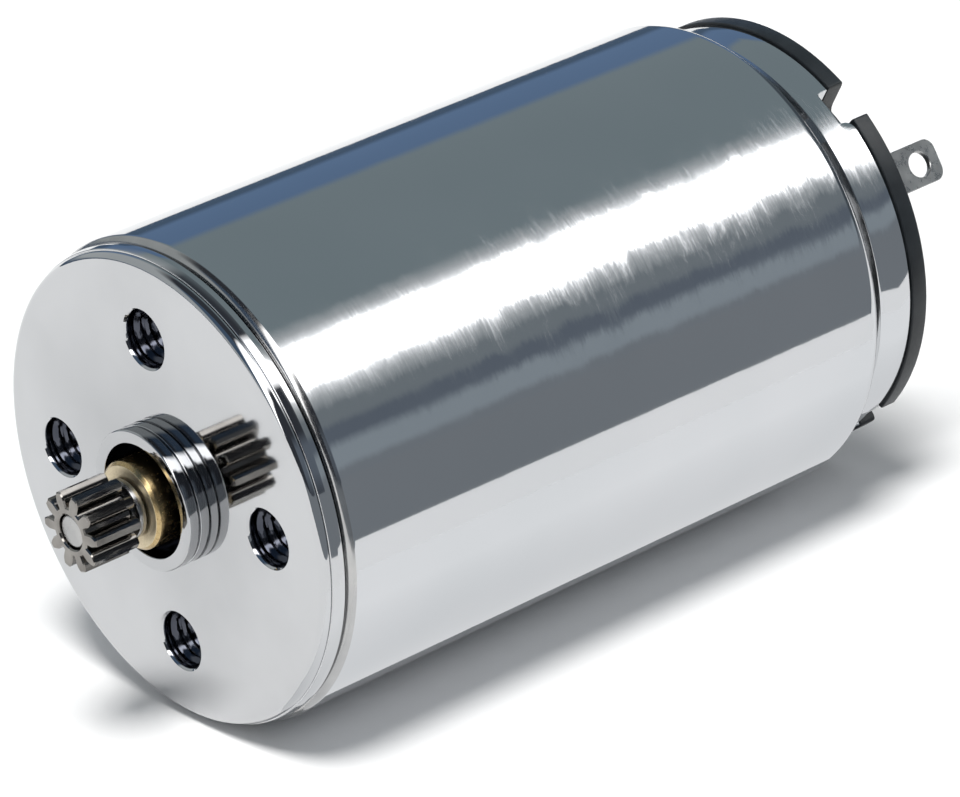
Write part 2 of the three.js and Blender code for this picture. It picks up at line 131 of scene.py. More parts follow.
def finish_mesh(name, verts, faces, weighted=True):
    """Makes an object from points in millimetres, with smooth shading between sharp edges."""
    mesh = bpy.data.meshes.new(name)
    mesh.from_pydata([Vector(v) * MM for v in verts], [], faces)
    bm = bmesh.new()
    bm.from_mesh(mesh)
    bmesh.ops.remove_doubles(bm, verts=bm.verts, dist=1e-7)
    bmesh.ops.recalc_face_normals(bm, faces=bm.faces)
    bm.to_mesh(mesh)
    bm.free()
    mesh.shade_smooth()
    mesh.set_sharp_from_angle(angle=math.radians(SHARP_ANGLE))
    piece = bpy.data.objects.new(name, mesh)
    bpy.context.scene.collection.objects.link(piece)
    if weighted:
        add_weighted_normals(piece)
    return piece


def add_weighted_normals(piece):
    modifier = piece.modifiers.new("weighted normals", "WEIGHTED_NORMAL")
    modifier.keep_sharp = True


def rounded(corners, steps=5):
    """Closed outline with an arc at each corner. A corner is (x, y) or (x, y, radius)."""
    outline = []
    count = len(corners)
    for i, corner in enumerate(corners):
        point = Vector(corner[:2])
        radius = corner[2] if len(corner) > 2 else 0
        if radius == 0:
            outline.append(point)
            continue
        to_last = (Vector(corners[i - 1][:2]) - point).normalized()
        to_next = (Vector(corners[(i + 1) % count][:2]) - point).normalized()
        half = to_last.angle(to_next) / 2
        centre = point + (to_last + to_next).normalized() * (radius / math.sin(half))
        start = point + to_last * (radius / math.tan(half)) - centre
        end = point + to_next * (radius / math.tan(half)) - centre
        turn = start.angle_signed(end)
        for step in range(steps + 1):
            outline.append(centre + Matrix.Rotation(-turn * step / steps, 2) @ start)
    return outline


def lathe_faces(rows, facets, closed):
    """Quads between neighbouring rows of a turned grid, where a row is one ring of points."""
    faces = []
    for j in range(rows if closed else rows - 1):
        a, b = j * facets, ((j + 1) % rows) * facets
        for i in range(facets):
            k = (i + 1) % facets
            faces.append((a + i, a + k, b + k, b + i))
    return faces


def turned_point(radius, y, angle):
    return (radius * math.cos(angle), y, radius * math.sin(angle))


def full_turn(facets):
    """Evenly spaced columns round the shaft, as (angle, 0)."""
    return [(2 * math.pi * i / facets, 0) for i in range(facets)]


def lathe(name, profile, columns, sink=None):
    """Turned piece from its half section. Each column is (angle, depth), and sink moves a point of
    the section (radius, y) by the depth of its column, for notches."""
    verts = []
    for radius, y in profile:
        for angle, depth in columns:
            here = sink(radius, y, depth) if sink else (radius, y)
            verts.append(turned_point(*here, angle))
    faces = lathe_faces(len(profile), len(columns), closed=True)
    solid = [f for f in faces if len({tuple(verts[i]) for i in f}) > 2]
    return finish_mesh(name, verts, solid)


def ring(name, bore, radius, front, rear, edge, facets=FINE):
    corners = [(bore, front, edge), (radius, front, edge), (radius, rear, edge), (bore, rear, edge)]
    return lathe(name, rounded(corners, 3), full_turn(facets))


def inset(loop, distance):
    """Outline moved sideways by a distance, to the left of its direction, with mitred corners."""
    moved = []
    for i, point in enumerate(loop):
        into = (point - loop[i - 1]).normalized()
        out = (loop[(i + 1) % len(loop)] - point).normalized()
        along = (into + out).normalized()
        moved.append(point + Vector((-along.y, along.x)) * (distance / max(along.dot(out), 0.3)))
    return moved


def prism(name, loops, thickness, chamfer, place):
    """Plate with chamfered edges. The first loop runs anticlockwise round it, others clockwise round
    its holes, and place turns a point (u, v, height) into a point of the part."""
    verts = []
    faces = []
    small = [inset(loop, chamfer) for loop in loops]
    levels = [(small, 0), (loops, chamfer), (loops, thickness - chamfer), (small, thickness)]
    count = sum(len(loop) for loop in loops)
    for level, height in levels:
        for loop in level:
            verts += [place(p.x, p.y, height) for p in loop]
    for level in range(3):
        start = level * count
        for loop in loops:
            for i in range(len(loop)):
                k = (i + 1) % len(loop)
                faces.append((start + i, start + k, start + count + k, start + count + i))
            start += len(loop)
    cap = tessellate_polygon([[p.to_3d() for p in loop] for loop in small])
    faces += [tuple(reversed(face)) for face in cap]
    faces += [tuple(i + 3 * count for i in face) for face in cap]
    return finish_mesh(name, verts, faces)


def circle(radius, facets, x=0.0, y=0.0, clockwise=False):
    step = 2 * math.pi / facets * (-1 if clockwise else 1)
    centre = Vector((x, y))
    return [centre + Vector((math.cos(i * step), math.sin(i * step))) * radius for i in range(facets)]


def turn_about_shaft(angle):
    """Matrix that carries what stands at angle 0 round the shaft to an angle in degrees."""
    return Matrix.Rotation(-math.radians(angle), 4, "Y")


def cut_away(piece, tools):
    """Cuts tools out of a piece and removes them."""
    for tool in tools:
        cut = piece.modifiers.new("cut", "BOOLEAN")
        cut.operation = "DIFFERENCE"
        cut.solver = "EXACT"
        cut.object = tool
    depsgraph = bpy.context.evaluated_depsgraph_get()
    mesh = bpy.data.meshes.new_from_object(piece.evaluated_get(depsgraph))
    piece.modifiers.clear()
    piece.data = mesh
    mesh.set_sharp_from_angle(angle=math.radians(SHARP_ANGLE))
    add_weighted_normals(piece)
    for tool in tools:
        bpy.data.objects.remove(tool)
    return piece


def box_tool(low, high, angle):
    """Box between two corners, turned about the shaft."""
    (x0, y0, z0), (x1, y1, z1) = low, high
    corners = [(x, y, z) for x in (x0, x1) for y in (y0, y1) for z in (z0, z1)]
    faces = [(0, 1, 3, 2), (4, 6, 7, 5), (0, 4, 5, 1), (2, 3, 7, 6), (0, 2, 6, 4), (1, 5, 7, 3)]
    turned = [turn_about_shaft(angle) @ Vector(corner) for corner in corners]
    return finish_mesh("tool", turned, faces, weighted=False)


def notched_turn(rounding):
    """Columns round the shaft, as (angle, depth), that follow the outline of the notches."""
    half = NOTCH_WIDTH / 2
    draft = 0.02
    columns = []
    for centre, rounded_side in NOTCHES:
        low, high = (rounding, 0.06) if rounded_side < 0 else (0.06, rounding)
        outline = rounded(
            [
                (-half - rounding - 0.05, 0),
                (-half, 0, low),
                (-half + draft, NOTCH_DEPTH, 0.18),
                *((step * 0.25, NOTCH_DEPTH) for step in range(-2, 3)),
                (half - draft, NOTCH_DEPTH, 0.18),
                (half, 0, high),
                (half + rounding + 0.05, 0),
            ]
        )
        columns += [(math.radians(centre) + p.x / RING_RADIUS, p.y) for p in outline]
    reach = (half + rounding + 0.1) / RING_RADIUS
    for angle, depth in full_turn(FINE):
        gaps = [abs(math.remainder(angle - math.radians(centre), 2 * math.pi)) for centre, _ in NOTCHES]
        if min(gaps) > reach:
            columns.append((angle, depth))
    return sorted(columns, key=lambda column: column[0] % (2 * math.pi))


def use_second_look(piece, where):
    """Gives the faces that a test on (radius, y) picks the piece's second material."""
    for polygon in piece.data.polygons:
        x, y, z = polygon.center / MM
        if where(math.hypot(x, z), y):
            polygon.material_index = 1


# ---------- the pieces ----------


def make_tube():
    """Steel tube with a rounded edge at each end. The front edge is painted darker, as painted shade in
    the seam beside the flange.
    """
    front_edge = 0.38
    rear_edge = 0.75
    bore_edge = 0.05
    corners = [
        (CAN_BORE, CAN_FRONT, bore_edge),
        (CAN_RADIUS, CAN_FRONT, front_edge),
        (CAN_RADIUS, CAN_REAR, rear_edge),
        (CAN_BORE, CAN_REAR, bore_edge),
    ]
    piece = lathe("can_tube", rounded(corners, 8), full_turn(FINE))
    # Painted shade: the front edge, in the seam beside the flange, gets the darker second look.
    use_second_look(piece, lambda radius, y: y < CAN_FRONT + 0.8 * front_edge)
    return piece


def thread_radius(y, angle):
    """Radius of the tapped hole's wall: a V thread that runs out into the countersunk mouth."""
    land = 0.12  # share of the pitch that stays flat at crest and root
    run_out_start, run_out_end = 0.25, 0.55
    phase = (y / THREAD_PITCH - angle / (2 * math.pi)) % 1.0
    ridge = 1 - abs(2 * phase - 1)
    flat = min(max((ridge - land) / (1 - 2 * land), 0), 1)
    run_out = min(max((run_out_end - y) / (run_out_end - run_out_start), 0), 1)
    depth = flat + (1 - flat) * run_out
    wall = THREAD_MINOR + (THREAD_MAJOR - THREAD_MINOR) * depth
    return max(wall, HOLE_MOUTH - 1.1 * y)


def in_bore_or_hole(radius, y):
    """Whether a point of the flange lies in the boss's bore or in a tapped hole."""
    in_bore = radius < BOSS_BORE + 0.01 and y > BOSS_FRONT + 0.08
    in_hole = abs(radius - HOLE_CIRCLE) < HOLE_MOUTH and 0.1 < y < HOLE_DEPTH + 0.5
    return in_bore or in_hole


def make_flange():
    """Front flange: mounting face, rounded rim, pilot boss with a groove, bore and tapped holes."""
    spigot = CAN_BORE - FIT
    step_radius = RIM_RADIUS - 0.13
    step_y = 0.38
    counterbore = 2.3
    groove = 0.13
    groove_y = BOSS_FRONT / 2 + 0.02
    relief = 0.09
    skin = rounded(
        [
            (step_radius, 0, 0.36),
            (step_radius, step_y),
            (step_radius - 0.05, step_y + 0.03),
            (RIM_RADIUS - 0.06, step_y + 0.06, 0.04),
            (RIM_RADIUS, step_y + 0.4, 0.2),
            (RIM_RADIUS, SEAM_FRONT, 0.08),
            (SEAM_RADIUS, SEAM_FRONT + 0.03, 0.02),
            (SEAM_RADIUS, CAN_FRONT - FIT),
            (spigot, CAN_FRONT - FIT),
            (spigot, FLANGE_REAR, 0.1),
            (counterbore, FLANGE_REAR, 0.05),
            (counterbore, BUSH_REAR + FIT),
            (BUSH_RADIUS + FIT, BUSH_REAR + FIT),
            (BUSH_RADIUS + FIT, RECESS_Y),
            (BOSS_BORE, RECESS_Y, 0.05),
            (BOSS_BORE, BOSS_FRONT, 0.05),
            (BOSS_RADIUS, BOSS_FRONT, 0.1),
            (BOSS_RADIUS, groove_y - groove / 2, 0.03),
            (BOSS_RADIUS - groove, groove_y - groove / 4),
            (BOSS_RADIUS - groove, groove_y + groove / 4),
            (BOSS_RADIUS, groove_y + groove / 2, 0.03),
            (BOSS_RADIUS, -relief, 0.03),
            (BOSS_RADIUS - relief, -relief / 2),
            (BOSS_RADIUS - relief, 0),
        ]
    )
    verts = [turned_point(p.x, p.y, angle) for p in skin for angle, _ in full_turn(FINE)]
    faces = lathe_faces(len(skin), FINE, closed=False)
    boss_start = (len(skin) - 1) * FINE
    loops = [list(range(FINE)), list(range(boss_start, boss_start + FINE))]
    hole_facets = 64
    rows = 70
    for quarter in range(4):
        centre = Vector(turned_point(HOLE_CIRCLE, 0, math.radians(90 * quarter)))
        start = len(verts)
        for row in range(rows + 1):
            y = HOLE_DEPTH * row / rows
            for i in range(hole_facets):
                angle = 2 * math.pi * i / hole_facets
                verts.append(tuple(centre + Vector(turned_point(thread_radius(y, angle), y, angle))))
        wall = lathe_faces(rows + 1, hole_facets, closed=False)
        faces += [tuple(start + i for i in face) for face in wall]
        loops.append(list(range(start, start + hole_facets)))
        tip = len(verts)
        verts.append(tuple(centre + Vector((0, HOLE_DEPTH + 0.4, 0))))
        last = start + rows * hole_facets
        faces += [(last + i, last + (i + 1) % hole_facets, tip) for i in range(hole_facets)]
    order = [i for loop in loops for i in loop]
    flat = [[Vector((verts[i][0], verts[i][2], 0)) for i in loop] for loop in loops]
    faces += [tuple(order[i] for i in face) for face in tessellate_polygon(flat)]
    piece = finish_mesh("mounting_flange", verts, faces)
    # Painted shade: the bore and the tapped holes get the near-black second look.
    use_second_look(piece, in_bore_or_hole)
    return piece


def make_front_bush():
    corners = [
        (SHAFT_BORE, BUSH_FRONT, 0.05),
        (BUSH_RADIUS - 0.16, BUSH_FRONT, 0.05),
        (BUSH_RADIUS, BUSH_FRONT + 0.16, 0.05),
        (BUSH_RADIUS, BUSH_REAR, 0.1),
        (SHAFT_BORE, BUSH_REAR, 0.05),
    ]
    piece = lathe("output_bush", rounded(corners, 3), full_turn(SMALL))
    # Painted reflection: the front face gets the paler copy of the bronze.
    use_second_look(piece, lambda radius, y: y < BUSH_FRONT + 0.02)
    return piece


def make_shaft():
    edge = 0.12
    corners = [
        (0, SHAFT_FRONT),
        (SHAFT_RADIUS, SHAFT_FRONT, edge),
        (SHAFT_RADIUS, SHAFT_REAR, edge),
        (0, SHAFT_REAR),
    ]
    return lathe("output_shaft", rounded(corners, 3), full_turn(SMALL))


def involute(angle):
    """How far an involute has turned from its base circle, at a pressure angle."""
    return math.tan(angle) - angle


def gear_outline(teeth, module):
    """Outline of a spur gear with involute flanks, anticlockwise."""
    pressure = math.radians(PRESSURE_ANGLE)
    pitch = teeth * module / 2
    base = pitch * math.cos(pressure)
    tip = pitch + module
    root = pitch - 1.25 * module
    shift = 0.2 * math.pi / (2 * teeth)  # a stub pinion is cut with slightly thicker teeth
    half_at_pitch = math.pi / (2 * teeth) + shift
    flank = [(root, half_at_pitch + involute(pressure) + 0.03)]
    steps = 6
    for i in range(steps + 1):
        radius = max(base, root + 0.04) + (tip - max(base, root + 0.04)) * i / steps
        turned = involute(math.acos(min(base / radius, 1)))
        flank.append((radius, half_at_pitch + involute(pressure) - turned))
    outline = []
    for tooth in range(teeth):
        middle = 2 * math.pi * tooth / teeth
        for radius, half in flank:
            outline.append((radius, middle - half))
        for radius, half in reversed(flank):
            outline.append((radius, middle + half))
    return [Vector((r * math.cos(a), r * math.sin(a))) for r, a in outline]


def make_pinion():
    length = PINION_REAR - PINION_FRONT
    loops = [gear_outline(PINION_TEETH, PINION_MODULE), circle(SHAFT_RADIUS + FIT, 48, clockwise=True)]

    def place(u, v, height):
        return (u, PINION_FRONT + height, v)

    return prism("spur_pinion", loops, length, 0.06, place)


def make_rear_ring():
    """Metal ring that steps down from the tube, with notches in its rear edge."""
    bore = 9.0
    spigot = CAN_BORE - FIT
    shoulder = CAN_REAR + FIT
    corners = [
        (bore, RING_FRONT, 0.1),
        (spigot, RING_FRONT, 0.1),
        (spigot, shoulder),
        (FLARE_RADIUS, shoulder),
        (RING_RADIUS, FLARE_REAR, 0.3),
        (RING_RADIUS, NOTCH_FRONT - 0.1),
        (RING_RADIUS, RING_REAR, 0.07),
        (bore, RING_REAR, 0.07),
        (bore, NOTCH_FRONT - 0.1),
    ]

    def sink(radius, y, depth):
        return (radius, y - depth) if y > NOTCH_FRONT else (radius, y)

    return lathe("notched_ring", rounded(corners, 3), notched_turn(0.5), sink)


def make_cap():
    """Black moulded cap: rim, wall inside the ring, floor with a shallow round recess behind."""
    wall_outer = 8.95
    wall_inner = 7.95
    floor = 33.6
    recess = 6.6
    recess_y = CAP_REAR - 0.3
    corners = [
        (0, floor),
        (wall_inner, floor, 0.3),
        (wall_inner, CAP_FRONT, 0.1),
        (wall_outer, CAP_FRONT, 0.2),
        (wall_outer, NOTCH_FRONT),
        (wall_outer, NOTCH_FRONT + 0.01),
        (wall_outer, RING_REAR + FIT),
        (CAP_RADIUS, RING_REAR + FIT, 0.06),
        (CAP_RADIUS, CAP_REAR, 0.14),
        (NOTCH_FLOOR - 0.1, CAP_REAR),
        (recess, CAP_REAR, 0.08),
        (recess, recess_y, 0.1),
        (recess - 0.3, recess_y),
        (0, recess_y),
    ]

    def sink(radius, y, depth):
        if y <= NOTCH_FRONT or radius <= NOTCH_FLOOR:
            return (radius, y)
        return (radius + (NOTCH_FLOOR - radius) * depth / NOTCH_DEPTH, y)

    piece = lathe("rear_cap", rounded(corners, 4), notched_turn(0.06), sink)
    slot_half = LUG_WIDTH / 2 + 0.125
    low = (LUG_RADIUS - 0.45, floor - 1, -slot_half)
    high = (LUG_RADIUS + 0.35, CAP_REAR + 1, slot_half)
    return cut_away(piece, [box_tool(low, high, angle) for angle in LUG_ANGLES])


def make_lug(number):
    """Stamped solder lug with rounded corners and a wire hole."""
    low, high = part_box(f"terminal_{number}")
    half = LUG_WIDTH / 2
    front, rear = low.y / MM, high.y / MM
    corners = [(-half, front), (half, front), (half, rear, LUG_CORNER), (-half, rear, LUG_CORNER)]
    outline = rounded(corners, steps=10)
    hole = circle(LUG_HOLE_RADIUS, 48, 0, LUG_HOLE_Y, clockwise=True)
    turn = turn_about_shaft(LUG_ANGLES[number - 1])

    def place(u, v, height):
        return turn @ Vector((LUG_RADIUS - LUG_THICKNESS / 2 + height, v, u))

    return prism(f"solder_lug_{number}", [outline, hole], LUG_THICKNESS, 0.035, place)


# ---------- materials ----------


class Nodes:
    """Short way to add and link the nodes of one material."""

    def __init__(self, name):
        self.material = bpy.data.materials.new(name)
        self.material.use_nodes = True
        self.tree = self.material.node_tree
        self.shader = self.tree.nodes["Principled BSDF"]
        self.where = self.add("ShaderNodeTexCoord").outputs["Object"]

    def add(self, kind, **settings):
        node = self.tree.nodes.new(kind)
        for key, value in settings.items():
            setattr(node, key, value)
        return node

    def link(self, output, socket):
        self.tree.links.new(output, socket)

    def stretched(self, per_mm):
        """Object coordinates scaled to cycles per millimetre along x, y and z."""
        mapping = self.add("ShaderNodeMapping")
        mapping.inputs["Scale"].default_value = [value / MM for value in per_mm]
        self.link(self.where, mapping.inputs["Vector"])
        return mapping.outputs["Vector"]

    def noise(self, per_mm, detail=3.0, roughness=0.5, distortion=0.0):
        texture = self.add("ShaderNodeTexNoise")
        texture.inputs["Scale"].default_value = 1.0
        texture.inputs["Detail"].default_value = detail
        texture.inputs["Roughness"].default_value = roughness
        texture.inputs["Distortion"].default_value = distortion
        self.link(self.stretched(per_mm), texture.inputs["Vector"])
        return texture.outputs["Fac"]

    def remap(self, value, low, high, to_low, to_high):
        node = self.add("ShaderNodeMapRange")
        self.link(value, node.inputs["Value"])
        limits = {"From Min": low, "From Max": high, "To Min": to_low, "To Max": to_high}
        for name, number in limits.items():
            node.inputs[name].default_value = number
        return node.outputs["Result"]

    def math(self, operation, first, second):
        node = self.add("ShaderNodeMath", operation=operation)
        for socket, value in zip(node.inputs, (first, second)):
            if isinstance(value, (int, float)):
                socket.default_value = value
            else:
                self.link(value, socket)
        return node.outputs["Value"]

    def vector_math(self, operation, first, second=None, scale=None):
        node = self.add("ShaderNodeVectorMath", operation=operation)
        self.link(first, node.inputs[0])
        if isinstance(second, (tuple, Vector)):
            node.inputs[1].default_value = second
        elif second is not None:
            self.link(second, node.inputs[1])
        if scale is not None:
            self.link(scale, node.inputs["Scale"])
        return node.outputs["Vector"]

    def colour(self, value, low_colour, high_colour, low=0.3, high=0.7):
        ramp = self.add("ShaderNodeValToRGB")
        ramp.color_ramp.elements[0].position = low
        ramp.color_ramp.elements[1].position = high
        ramp.color_ramp.elements[0].color = (*low_colour, 1)
        ramp.color_ramp.elements[1].color = (*high_colour, 1)
        self.link(value, ramp.inputs["Fac"])
        self.link(ramp.outputs["Color"], self.shader.inputs["Base Color"])

    def roughness(self, value, smooth, rough, low=0.3, high=0.7):
        self.link(self.remap(value, low, high, smooth, rough), self.shader.inputs["Roughness"])

    def bump(self, height, depth_um, normal=None):
        node = self.add("ShaderNodeBump")
        node.inputs["Strength"].default_value = 1.0
        node.inputs["Distance"].default_value = depth_um * 1e-6
        self.link(height, node.inputs["Height"])
        if normal is not None:
            self.link(normal, node.inputs["Normal"])
        self.link(node.outputs["Normal"], self.shader.inputs["Normal"])
        return node.outputs["Normal"]

    def along(self, axis, low_mm, high_mm, to_low, to_high):
        """Value that runs with one object coordinate, between two places in millimetres."""
        split = self.add("ShaderNodeSeparateXYZ")
        self.link(self.where, split.inputs["Vector"])
        return self.remap(split.outputs[axis], low_mm * MM, high_mm * MM, to_low, to_high)

    def radius(self):
        """Distance from the shaft axis, in millimetres."""
        flat = self.vector_math("MULTIPLY", self.where, (1 / MM, 0, 1 / MM))
        length = self.add("ShaderNodeVectorMath", operation="LENGTH")
        self.link(flat, length.inputs[0])
        return length.outputs["Value"]

    def metal(self):
        self.shader.inputs["Metallic"].default_value = 1.0


def polished_can():
    """Nickel plate polished round the can. Fine scratches that run round it wear the upper side, more
    so towards the rear, and fray the edges of what it reflects. The lower side stays clean. The
    polish also rolls by a degree from front to rear."""
    n = Nodes("polished_nickel_can")
    n.metal()
    n.colour(n.noise((0.12,) * 3, 2), (0.55, 0.56, 0.575), (0.58, 0.585, 0.60))
    scratches = n.noise((0.8, 8.0, 0.8), 5, 0.65)
    patches = n.noise((0.40, 0.60, 0.40), 4, 0.6, 0.8)
    upper = n.math("MULTIPLY", n.along("Z", 1.5, 6.0, 0.1, 1), n.along("Z", 8.6, 10.4, 1, 0.15))
    wear = n.math("MULTIPLY", upper, n.along("Y", 4.0, 15.0, 0.4, 1))
    scratched = n.remap(scratches, 0.36, 0.66, 0.2, 1)
    marks = n.math("MULTIPLY", scratched, n.remap(patches, 0.38, 0.60, 0.1, 1))
    n.roughness(n.math("MULTIPLY", wear, marks), 0.05, 0.24, 0, 1)
    around = n.vector_math("CROSS_PRODUCT", n.where, (0, 1, 0))
    tangent = n.vector_math("NORMALIZE", around)
    sway = n.remap(scratches, 0, 1, -0.03, 0.03)
    wander = n.math("ADD", sway, n.remap(patches, 0, 1, -0.05, 0.05))
    roll = n.along("Y", 2.0, 30.0, -0.012, 0.012)
    lean = n.math("ADD", n.math("MULTIPLY", wear, wander), roll)
    geometry = n.add("ShaderNodeNewGeometry")
    shift = n.vector_math("SCALE", tangent, scale=lean)
    leaned = n.vector_math("ADD", geometry.outputs["Normal"], shift)
    normal = n.vector_math("NORMALIZE", leaned)
    n.bump(n.noise((0.5, 9.0, 0.5), 3, 0.6), 0.08, normal)
    return n.material


def polished_face():
    """Nickel plate on the turned flange: a flat mirror with a trace of concentric turning lines. Its
    colour is darker round the boss, which is painted shade."""
    n = Nodes("polished_nickel_face")
    n.metal()
    # Painted shade: the face's colour gets darker towards the boss.
    painted_boss_shade = n.remap(n.radius(), BOSS_RADIUS, 9.5, 0, 0.5)
    cloud = n.math("ADD", painted_boss_shade, n.noise((0.15,) * 3, 3))
    n.colour(cloud, (0.43, 0.435, 0.445), (0.545, 0.55, 0.56), 0.35, 1)
    n.roughness(n.noise((0.5,) * 3, 4), 0.03, 0.075)
    rings = n.add("ShaderNodeTexNoise", noise_dimensions="1D")
    n.link(n.radius(), rings.inputs["W"])
    rings.inputs["Scale"].default_value = 9.0
    rings.inputs["Detail"].default_value = 3.0
    n.bump(rings.outputs["Fac"], 0.08)
    return n.material


def bronze(name, dark, light, smooth, rough):
    """Sized sintered bronze with fine pores."""
    n = Nodes(name)
    n.metal()
    pores = n.noise((14,) * 3, 3, 0.6)
    n.colour(pores, dark, light, 0.30, 0.55)
    n.roughness(n.noise((3,) * 3, 3), smooth, rough)
    n.bump(pores, 0.10)
    return n.material


def cut_steel(name, dark, light, smooth, rough, per_mm, depth_um=0.6):
    """Machined steel with fine marks of one direction."""
    n = Nodes(name)
    n.metal()
    marks = n.noise(per_mm, 4, 0.6)
    n.colour(n.noise((0.8,) * 3, 3), dark, light)
    n.roughness(marks, smooth, rough)
    n.bump(marks, depth_um)
    return n.material


def moulded_black():
    """Black moulded plastic with a fine satin grain."""
    n = Nodes("black_moulded_plastic")
    grain = n.noise((8,) * 3, 4, 0.6)
    n.colour(n.noise((0.7,) * 3, 3), (0.007, 0.009, 0.011), (0.014, 0.017, 0.020))
    n.roughness(grain, 0.34, 0.46)
    n.bump(grain, 4.0)
    n.shader.inputs["IOR"].default_value = 1.42
    return n.material


def enamelled_copper():
    """Self-supporting coil of fine wire: slanted strands under clear varnish."""
    n = Nodes("enamelled_copper_wire")
    n.shader.inputs["Metallic"].default_value = 0.85
    n.shader.inputs["Coat Weight"].default_value = 0.4
    strands = n.noise((1.2, 0.25, 1.2), 2, 0.5)
    fine = n.noise((7.0, 0.6, 7.0), 3, 0.5)
    n.colour(strands, (0.48, 0.19, 0.07), (0.80, 0.40, 0.18))
    n.roughness(fine, 0.24, 0.42)
    n.bump(fine, 8.0)
    return n.material


def plain_metal(name, dark, light, smooth, rough, grain_per_mm=4.0, depth_um=1.0):
    """Metal or alloy with an even fine grain."""
    n = Nodes(name)
    n.metal()
    grain = n.noise((grain_per_mm,) * 3, 4, 0.6)
    n.colour(n.noise((0.5,) * 3, 3), dark, light)
    n.roughness(grain, smooth, rough)
    n.bump(grain, depth_um)
    return n.material


def cured_resin():
    n = Nodes("cured_resin")
    cloud = n.noise((0.6,) * 3, 4)
    n.colour(cloud, (0.13, 0.05, 0.02), (0.24, 0.10, 0.04))
    n.roughness(n.noise((3,) * 3, 3), 0.2, 0.34)
    n.bump(cloud, 20.0)
    return n.material


def floor_paint():
    n = Nodes("pale_floor")
    n.colour(n.noise((0.004,) * 3, 2), (0.88, 0.885, 0.89), (0.90, 0.905, 0.91))
    n.shader.inputs["Roughness"].default_value = 0.9
    n.shader.inputs["Specular IOR Level"].default_value = 0.0
    return n.material


CAN_LOOK = polished_can()
FACE_LOOK = polished_face()
BRONZE_LOOK = bronze("sintered_bronze", (0.34, 0.24, 0.115), (0.52, 0.39, 0.20), 0.2, 0.3)
# Paler copy of the bronze for the bush's front face: its paler colour is a painted reflection of the
# bright floor before the motor.
BRONZE_LIT_END_LOOK = bronze("sintered_bronze_end_painted_light", (0.50, 0.42, 0.28), (0.63, 0.54, 0.38), 0.34, 0.46)
STEEL_LOOK = cut_steel("ground_steel", (0.34, 0.34, 0.34), (0.45, 0.445, 0.44), 0.16, 0.3, (0.5, 9, 0.5))
# Metal inside the tapped holes and the boss's bore: bare cut steel, darker than the plating, and
# darkened much further as painted shade in these recesses.
HOLE_SHADE_LOOK = plain_metal("cut_thread_painted_shade", (0.045, 0.05, 0.065), (0.10, 0.105, 0.125), 0.08, 0.16, 5.0, 0.5)
# Darker copy of the can's metal for the tube's front edge: painted shade in the seam with the flange.
SEAM_SHADE_EDGE_LOOK = plain_metal("seam_edge_painted_shade", (0.40, 0.40, 0.40), (0.50, 0.495, 0.49), 0.12, 0.2, 3.0, 0.8)
PINION_LOOK = cut_steel(
    "hobbed_steel", (0.19, 0.178, 0.165), (0.31, 0.295, 0.275), 0.07, 0.16, (5, 0.5, 5), 0.5
)
PLASTIC_LOOK = moulded_black()
COPPER_LOOK = enamelled_copper()
RESIN_LOOK = cured_resin()
TIN_LOOK = plain_metal("dull_tin_plate", (0.29, 0.29, 0.29), (0.45, 0.45, 0.44), 0.22, 0.38, 3.0, 1.5)
CONTACT_LOOK = plain_metal("contact_alloy", (0.72, 0.54, 0.26), (0.86, 0.68, 0.38), 0.15, 0.28)
MAGNET_LOOK = plain_metal("magnet_alloy", (0.16, 0.165, 0.175), (0.24, 0.245, 0.25), 0.32, 0.5, 6.0, 2.5)


def dress(piece, *looks):
    if piece.data.materials:
        piece.data.materials.clear()
    for look in looks:
        piece.data.materials.append(look)


# ---------- put the pieces on their bodies ----------


def fit_out(piece, node, body, *looks):
    """A finished piece that stands for one CAD node and moves with its body."""
    dress(piece, *looks)
    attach(piece, body)
    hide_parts(node)


def inner_ring(node, bore, body, look, edge=0.08, facets=FINE):
    """Smooth turned piece in place of a plain ring-shaped CAD node."""
    radius, front, rear = turned_size(node)
    fit_out(ring(f"{node}_turned", bore, radius, front, rear, edge, facets), node, body, look)


fit_out(make_tube(), "housing_tube", "housing", CAN_LOOK, SEAM_SHADE_EDGE_LOOK)
fit_out(make_flange(), "front_flange", "housing", FACE_LOOK, HOLE_SHADE_LOOK)
fit_out(make_front_bush(), "front_bush", "housing", BRONZE_LOOK, BRONZE_LIT_END_LOOK)
fit_out(make_rear_ring(), "rear_ring", "housing", CAN_LOOK)
fit_out(make_cap(), "end_cap", "housing", PLASTIC_LOOK)
for lug in (1, 2):
    fit_out(make_lug(lug), f"terminal_{lug}", "housing", TIN_LOOK)
inner_ring("rear_bush", SHAFT_BORE, "housing", BRONZE_LOOK, facets=SMALL)
inner_ring("magnet_sleeve", SLEEVE_BORE, "housing", STEEL_LOOK, facets=SMALL)
inner_ring("magnet", turned_size("magnet_sleeve")[0] + FIT, "housing", MAGNET_LOOK, edge=0.3)
inner_ring("magnet_retainer", turned_size("magnet_sleeve")[0] + FIT, "housing", STEEL_LOOK)

fit_out(make_shaft(), "shaft", "rotor", STEEL_LOOK)
fit_out(make_pinion(), "pinion", "rotor", PINION_LOOK)
inner_ring("front_shim", SHAFT_BORE, "rotor", STEEL_LOOK, edge=0.04, facets=SMALL)
inner_ring("rear_shim", SHAFT_BORE, "rotor", STEEL_LOOK, edge=0.04, facets=SMALL)
COIL_BORE = 8.25
inner_ring("coil", COIL_BORE, "rotor", COPPER_LOOK, edge=0.2)
inner_ring("coil_ring", COIL_BORE, "rotor", RESIN_LOOK, edge=0.15)
inner_ring("winding_hub", SHAFT_BORE, "rotor", PLASTIC_LOOK, edge=0.15)

